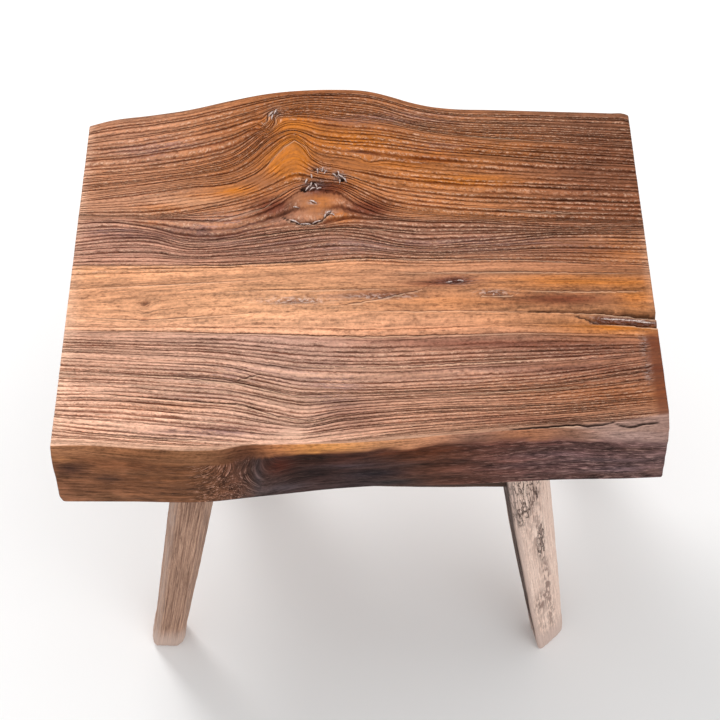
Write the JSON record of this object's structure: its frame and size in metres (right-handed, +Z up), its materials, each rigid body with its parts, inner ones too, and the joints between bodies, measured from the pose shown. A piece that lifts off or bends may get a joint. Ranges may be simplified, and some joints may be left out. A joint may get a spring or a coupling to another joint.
{
  "type": "milking stool",
  "caption": "Low wooden milking stool: a thick live-edge board on splayed hewn legs, with pegged rails under the front and back edges.",
  "frame": {"origin": "on the floor, under the middle of the stool's overall box", "axes": "+X to the right along the seat's grain, +Y to the back, where the seat's edge bulges, +Z up"},
  "size_m": [0.35, 0.304, 0.24],
  "materials": {
    "seat_wood": "wire-brushed, oiled old hardwood with raised grain, worn smooth and orange where it is rubbed",
    "leg_wood": "dry hewn hardwood, greyed, with fine dark streaks",
    "pale_leg_wood": "dry riven hardwood, pale and scuffed, with dark stains",
    "rail_wood": "sawn dark hardwood, unfinished",
    "wedge_wood": "split hardwood, raw",
    "peg_wood": "whittled hardwood, dark end grain"
  },
  "bodies": {
    "root": {"seat": "seat_wood", "leg_front_left": "leg_wood", "leg_front_right": "pale_leg_wood", "leg_back_left": "leg_wood", "leg_back_right": "leg_wood", "rail_front": "rail_wood", "rail_back": "rail_wood", "wedge_front_left": "wedge_wood", "wedge_front_right": "wedge_wood", "wedge_back_left": "wedge_wood", "wedge_back_right": "wedge_wood", "peg_front_left": "peg_wood", "peg_front_right": "peg_wood", "peg_back_left": "peg_wood", "peg_back_right": "peg_wood"}
  },
  "joints": []
}
